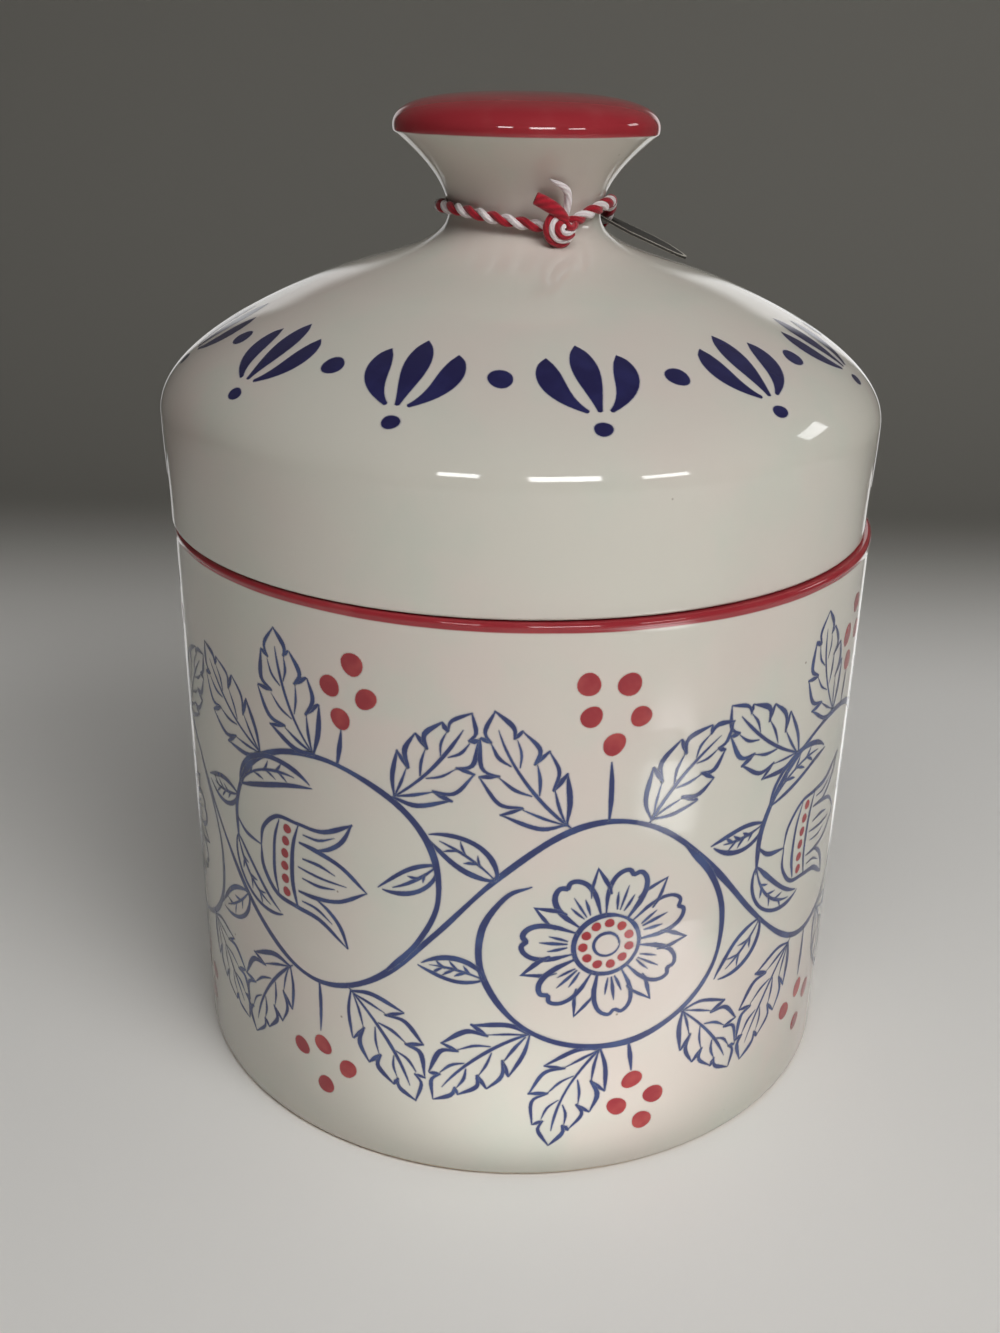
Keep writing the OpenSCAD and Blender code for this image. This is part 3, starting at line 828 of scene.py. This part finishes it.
strokes, spots = [], []
gap = 2 * np.pi * ring["radius"] / ring["count"]
size = ring["size"]
for i in range(ring["count"]):
    x, lean = (i + 0.5) * gap + ring["start"], chance.normal(0, 3)
    for side, heading, turn, long, wide in ring["strokes"]:
        path = bent((x + side * size, -7 * size), heading + lean, turn, long * size)
        strokes.append((path, wide * ring["wider"]))
    spots.append(((x, -10.4 * size), 1.9, 1.7, 0))
    spots.append(((x + gap / 2, chance.normal(0, 0.4)), 2.9, 2.7, chance.uniform(0, 180)))
ringShapes = [brushLine(p, w, n, onDome, shake=0.4, shape=drop) for n, (p, w) in enumerate(strokes)]
ringShapes += [brushDot(*dot, n, onDome) for n, dot in enumerate(spots)]
painted("painted_ring", ringShapes, navy, "lid")
print("lid painted:", len(strokes), "strokes")


twine = {
    "waistRadius": 19.3, "waistZ": 227.3, "thick": 2.8, "pitch": 7.2, "phase": 2.2,
    "redPly": (0.93, 0.62), "whitePly": (0.84, 0.70),   # radius and distance from the twine's middle
    # each yarn's second, darker colour is painted shade for the grooves between its fibres
    "red": tone(178, 22, 42), "redGrooveShade": tone(146, 14, 32), "cut": tone(74, 16, 26),
    "white": tone(246, 240, 240), "whiteGrooveShade": tone(226, 212, 214), "strands": 5.0, "lay": 2.4,
    # places along the loop: direction in degrees, gap to the waist's radius and height above it
    "loop": [
        (294, 1.7, -1.1), (305, 0.9, 0.2), (320, 0.8, 2), (335, 0.8, 3.1), (348, 0.8, 3.5), (360, 1, 3.4),
        (371, 1.7, 2.5), (381, 2.9, 0.6), (390, 3.8, -2), (399, 4.2, -4), (410, 3.8, -4), (424, 2.8, -3.3),
        (440, 2.1, -2.4), (458, 1.3, -1.4), (476, 0.8, -0.4), (494, 0.7, 0.4), (512, 0.7, 0.9),
        (530, 0.7, 1.3), (548, 0.7, 1.7), (566, 0.7, 1.9), (584, 0.7, 1.8), (600, 0.7, 1.2), (615, 0.8, 0.4),
        (630, 1.1, -0.4), (640, 1.5, -0.9), (648, 1.7, -1.1)],
    "knotAt": (291, 1.6, -1), "knotDeep": 5.2,
    "redEndThick": 3,
    "redEnd": [(293, 4.6, 0.6), (289.5, 4.7, 2.3), (285, 4.5, 3.7), (280, 4.2, 4.9), (276, 4, 5.7)],
    "whiteEnd": [(295.5, 2.6, 1.4), (296, 2.9, 3.4), (296, 3.4, 5.3), (294.5, 3.9, 7.2), (290.5, 4.3, 8.5),
                 (286, 4.6, 9.4), (283.5, 4.7, 10)], "whiteEndThick": 2,
    # the knot's yarns: colour, radius, and right, up and out from its middle
    "bun": [
        (0, 0.82, [(0.6, 3.2, -0.4), (-1.2, 3.2, 0.8), (-2.9, 2.1, 1.2), (-3.7, 0.3, 1.2), (-3.4, -1.6, 1.0),
                   (-2.2, -3.1, 0.8), (-0.5, -3.9, 0.5), (1.4, -3.9, 0.2), (2.8, -3.3, -0.6)]),
        (1, 0.70, [(-0.4, 2.3, 1.3), (-1.9, 1.6, 1.9), (-2.6, 0.3, 2.0), (-2.4, -1.2, 1.9), (-1.4, -2.4, 1.7),
                   (0.1, -3.0, 1.4), (1.7, -3.0, 1.0), (3.1, -2.5, 0.2)]),
        (0, 0.74, [(0.4, 1.5, 1.7), (-0.9, 1.0, 2.4), (-1.4, 0.0, 2.6), (-1.1, -1.1, 2.5), (-0.1, -1.9, 2.3),
                   (1.2, -2.2, 1.9), (2.6, -2.0, 1.2), (3.7, -1.4, 0.2)]),
        (1, 0.62, [(0.9, 0.5, 2.1), (0.0, 0.2, 2.6), (-0.2, -0.6, 2.8), (0.6, -1.2, 2.6), (1.8, -1.3, 2.1),
                   (3.0, -0.9, 1.3), (4.0, -0.3, 0.3)]),
        (0, 0.80, [(0.3, 2.6, 0.8), (0.8, 1.4, 1.9), (1.5, 0.3, 2.3), (2.7, -0.1, 1.8), (3.8, 0.3, 0.8),
                   (4.4, 0.9, -0.2)]),
        (0, 2.30, [(-1.9, 0.2, -1.0), (-0.8, 0.0, -0.6), (0.8, -0.4, -0.6), (2.0, -0.6, -1.0)])],
}


def beside(route, thick):
    # (r cos a, r sin a, z) beside the neck: direction in degrees, gap to the waist's radius, height above it
    turn, gap, rise = np.array(route, float).T
    (c, s), r = cosSin(turn), twine["waistRadius"] + thick / 2 + gap
    return np.stack([r * c + lid["shift"], r * s, twine["waistZ"] + rise], 1)


def tube(path, outward, radii, distance, sides=12):
    # path + radius (cos a n + sin a b) with n towards outward and b = t x n; each end closes in one point
    t = unit(np.gradient(path, axis=0))
    n = unit(outward - np.sum(outward * t, 1, keepdims=True) * t)
    b = np.cross(t, n)
    a = np.linspace(0, 2 * np.pi, sides, endpoint=False)[None, :, None]
    rings = path[:, None] + radii[:, None, None] * (np.cos(a) * n[:, None] + np.sin(a) * b[:, None])
    points = np.vstack([rings.reshape(-1, 3), path[:1], path[-1:]])
    last, end = (len(path) - 1) * sides, len(path) * sides
    quads = ringFaces(len(path), sides)[:, [0, 3, 2, 1]]
    fans = [fanFaces(end, 0, sides, flip=True), fanFaces(end + 1, last, sides)]
    # u runs once round the tube, v is the distance along it in millimetres
    u = np.arange(sides) / sides
    u0 = np.broadcast_to(u, (len(distance) - 1, sides))
    u1 = u0 + 1 / sides
    v0, v1 = np.broadcast_to(distance[:-1, None], u0.shape), np.broadcast_to(distance[1:, None], u0.shape)
    corners = np.stack([u0, v0, u1, v0, u1, v1, u0, v1], -1).reshape(-1, 2)
    v0, v1, after = 0 * u + distance[0], 0 * u + distance[-1], (np.arange(sides) + 1) / sides
    capStart = np.stack([u, v0, after, v0, u, v0], -1).reshape(-1, 2)
    capEnd = np.stack([u, v1, u, v1, after, v1], -1).reshape(-1, 2)
    return points, [quads, *fans], np.vstack([corners, capStart, capEnd])


def roundedEnds(at, radius):
    # radius, falling to nothing at the ends as a half ball does
    near = np.minimum(at, at[-1] - at)
    return radius * np.sqrt(np.clip(1 - (1 - np.clip(near / radius, 0, 1)) ** 2, 0.0004, 1))


def plies(route):
    # two yarns round one path: path + distance (cos w n + sin w b), w growing by a turn for each pitch
    path, at = smoothPath(route, 0.3)
    t = unit(np.gradient(path, axis=0))
    n = unit(np.cross(t, (0.02, 0.01, 1.0)))
    b = np.cross(t, n)
    parts = []
    for radius, away, phase in ((*twine["redPly"], 0), (*twine["whitePly"], np.pi)):
        w = (2 * np.pi * at / twine["pitch"] + phase + twine["phase"])[:, None]
        spoke = np.cos(w) * n + np.sin(w) * b
        parts.append(tube(path + away * spoke, spoke, roundedEnds(at, radius), at))
    return parts


def yarnGroup():
    # fibres round a yarn: waves along (strands * u + v / lay) with a shaken phase, and a fine fuzz of noise;
    # the same height paints shade into the colour, darker in the grooves between the fibres
    takes = {"Colour": twine["white"], "Shade": twine["whiteGrooveShade"]}
    tree, given, out = newGroup("yarnFibres", takes, {"Colour": twine["white"], "Height": 0.0})
    uv, at = place(tree, "ShaderNodeTexCoord").outputs["UV"], objectPlace(tree)
    aroundNow = calc("MULTIPLY", along(uv, "X"), twine["strands"])
    turnsNow = calc("ADD", aroundNow, calc("DIVIDE", along(uv, "Y"), twine["lay"]))
    shake = calc("MULTIPLY", noise(at, 900.0, 2.0), 2.5)
    wave = calc("SINE", calc("ADD", calc("MULTIPLY", turnsNow, 2 * np.pi), shake))
    level = calc("ADD", calc("MULTIPLY", wave, 0.5), noise(at, 3600.0, 3.0))
    wire(level, out["Height"])
    # painted shade: where the fibre height is low, in the grooves, the colour turns to the darker Shade
    wire(mixed(ramped(level, 0.0, 1.1), given["Shade"], given["Colour"]), out["Colour"])
    return tree


yarnNodes = yarnGroup()


def yarn(name, colour, shade):
    # matt cotton with a soft sheen, its fibres as bump and as painted shade in the grooves of the colour
    material, tree, shader = newFinish(name, **{
        "Roughness": 0.85, "Specular IOR Level": 0.25, "Sheen Weight": 0.35, "Sheen Roughness": 0.5})
    fibres = place(tree, "ShaderNodeGroup", {"Colour": colour, "Shade": shade}, node_tree=yarnNodes).outputs
    wire(fibres["Colour"], shader.inputs["Base Color"])
    bumped(shader, fibres["Height"], 0.00012, 0.8)
    return material


redYarn = yarn("redYarn", twine["red"], twine["redGrooveShade"])
whiteYarn = yarn("whiteYarn", twine["white"], twine["whiteGrooveShade"])
cutYarn, _, _ = newFinish("cutYarn", **{"Base Color": twine["cut"], "Roughness": 0.95})
bothYarns = [redYarn, whiteYarn]
# each tube is three blocks of faces, the sides and its two ends, and each block has one finish
redThenWhite = [0, 0, 0, 1, 1, 1]

points, faces, corners = joined(plies(beside(twine["loop"], twine["thick"])))
loop = addPiece("twine_two_ply", points * mm, faces, bothYarns, corners=corners, finishOf=redThenWhite)

# the knot's own axes: right round the neck, up, and out from the neck
c, s = cosSin(twine["knotAt"][0])
knotMiddle = beside([twine["knotAt"]], twine["knotDeep"])[0]
knotAxes = np.array([[-s, c, 0], [0, 0, 1], [c, s, 0]])
strands = []
for _, radius, route in twine["bun"]:
    path, at = smoothPath(knotMiddle + np.array(route) @ knotAxes, 0.25)
    strands.append(tube(path, knotAxes[2], roundedEnds(at, radius), at, 14))
points, faces, corners = joined(strands)
colours = np.repeat([colour for colour, _, _ in twine["bun"]], 3)
knot = addPiece("twine_overhand_knot", points * mm, faces, bothYarns, corners=corners, finishOf=colours)

# red end: a fat, blunt yarn that flares to a flat cut; white end: a wisp that thins out
path, at = smoothPath(beside(twine["redEnd"], twine["redEndThick"]), 0.2)
share = at / at[-1]
swell = twine["redEndThick"] / 2 * (0.8 + 0.25 * np.sin(np.pi * np.clip(share * 0.8, 0, 1)) + 0.05 * share)
swell = swell * np.where(share > 0.985, 0.9, 1)
points, faces, corners = tube(path, knotAxes[2], swell, at, 20)
redEnd = addPiece("red_yarn_tail", points * mm, faces, [redYarn, cutYarn], creaseAngle=50, corners=corners,
                  finishOf=[0, 0, 1])
path, at = smoothPath(beside(twine["whiteEnd"], twine["whiteEndThick"]), 0.2)
share = at / at[-1]
thin = twine["whiteEndThick"] / 2 * np.interp(share, [0, 0.15, 0.55, 0.8, 1], [0.75, 1, 0.95, 0.62, 0.12])
points, faces, corners = tube(path, knotAxes[2], thin, at, 16)
whiteEnd = addPiece("white_yarn_tail", points * mm, faces, [whiteYarn], corners=corners)

standsFor(loop, "twine_loop", "twine")
standsFor(knot, "twine_knot", "twine")
standsFor(redEnd, "red_yarn_end", "twine")
standsFor(whiteEnd, "white_yarn_end", "twine")
print("twine ready")


tag = {
    "long": 29, "wide": 19, "thick": 0.8, "round": 7, "endWide": 8, "clip": 6.5, "hole": 3.4, "holeIn": 4.6,
    "offset": 0.4, "stop": 8, "turn": -4, "slope": 23.0, "roll": 11, "bow": 0.3, "edge": 0.1, "border": 0.05,
    "card": tone(58, 56, 52), "cardWorn": tone(84, 80, 74), "core": tone(196, 192, 182),
    "coreShade": tone(172, 166, 154),
}


def turnedBy(x, y, z):
    # Rz Ry Rx, in degrees
    (cx, cy, cz), (sx, sy, sz) = cosSin([x, y, z])
    aboutZ = np.array([[cz, -sz, 0], [sz, cz, 0], [0, 0, 1]])
    aboutY = np.array([[cy, 0, sy], [0, 1, 0], [-sy, 0, cy]])
    return aboutZ @ aboutY @ np.array([[1, 0, 0], [0, cx, -sx], [0, sx, cx]])


def tagPoints():
    # outline: clipped end at x = 0, round corners at the far end; each layer is
    # hole edge * (1 - t) + outline * t, for the top and the bottom
    half, far, r = tag["wide"] / 2, tag["long"], tag["round"]
    clip, end = tag["clip"], tag["endWide"] / 2
    outline = np.vstack([
        straight((0, -end), (clip, -half), 10),
        straight((clip, -half), (far - r, -half), 20),
        arc((far - r, -half + r), r, -90, 0, 16)[:-1],
        straight((far, -half + r), (far, half - r), 6),
        arc((far - r, half - r), r, 0, 90, 16)[:-1],
        straight((far - r, half), (clip, half), 20),
        straight((clip, half), (0, end), 10),
        straight((0, end), (0, -end), 10),
    ])
    centre = np.array([tag["holeIn"], 0])
    ray = unit(outline - centre)
    holeEdge = centre + tag["hole"] * ray
    t = np.array([0, 0.02, 0.3, 0.65, 1 - tag["border"], 1])[:, None, None]
    flat = holeEdge * (1 - t) + (outline - tag["edge"] * ray) * t
    z = np.full(flat.shape[:2], tag["thick"] / 2)
    z[0] -= tag["edge"]
    rim = np.dstack([outline[None], np.full((1, len(outline)), tag["thick"] / 2 - tag["edge"])])
    top = np.concatenate([np.dstack([flat, z]), rim])
    bottom = top * (1, 1, -1)
    rows = np.concatenate([top, bottom[::-1]])
    rows[..., 2] += tag["bow"] * (rows[..., 0] / far) ** 2
    return rows


rows = tagPoints()
count, around = rows.shape[:2]
# the last ring joins the first again, so the strips close round the card
strips = np.split(ringFaces(count + 1, around) % (count * around), count)
inTag = rows.reshape(-1, 3) + (tag["offset"] - tag["holeIn"], 0, 0)
stop = twine["loop"][tag["stop"]]
pin = beside([stop], twine["thick"])[0]
points = pin + inTag @ turnedBy(x=tag["roll"], y=tag["slope"], z=stop[0] + tag["turn"]).T

cardFace, tree, shader = newFinish("tagCard", **{"Roughness": 0.7, "Specular IOR Level": 0.35})
at = objectPlace(tree)
pulp = noise(at, 1400.0, 4.0)
rub = noise(at, 160.0, 3.0)
worn = calc("MULTIPLY", ramped(pulp, 0.4, 0.7), ramped(rub, 0.35, 0.75))
wire(mixed(worn, tag["card"], tag["cardWorn"]), shader.inputs["Base Color"])
bumped(shader, pulp, 0.00006, 0.5)
cardCore, tree, shader = newFinish("tagCore", **{"Roughness": 0.85, "Specular IOR Level": 0.2})
pulp = ramped(noise(objectPlace(tree), 1800.0, 3.0), 0.3, 0.7)
wire(mixed(pulp, tag["coreShade"], tag["core"]), shader.inputs["Base Color"])

# the dark card has a narrow pale border along its outline, on both faces
edgeRows = [1 if i in (4, 5, count - 7, count - 6) else 0 for i in range(count)]
card = addPiece("card_tag", points * mm, strips, [cardFace, cardCore], creaseAngle=40, finishOf=edgeRows)
standsFor(card, "hang_tag", "tag")
print("tag ready")
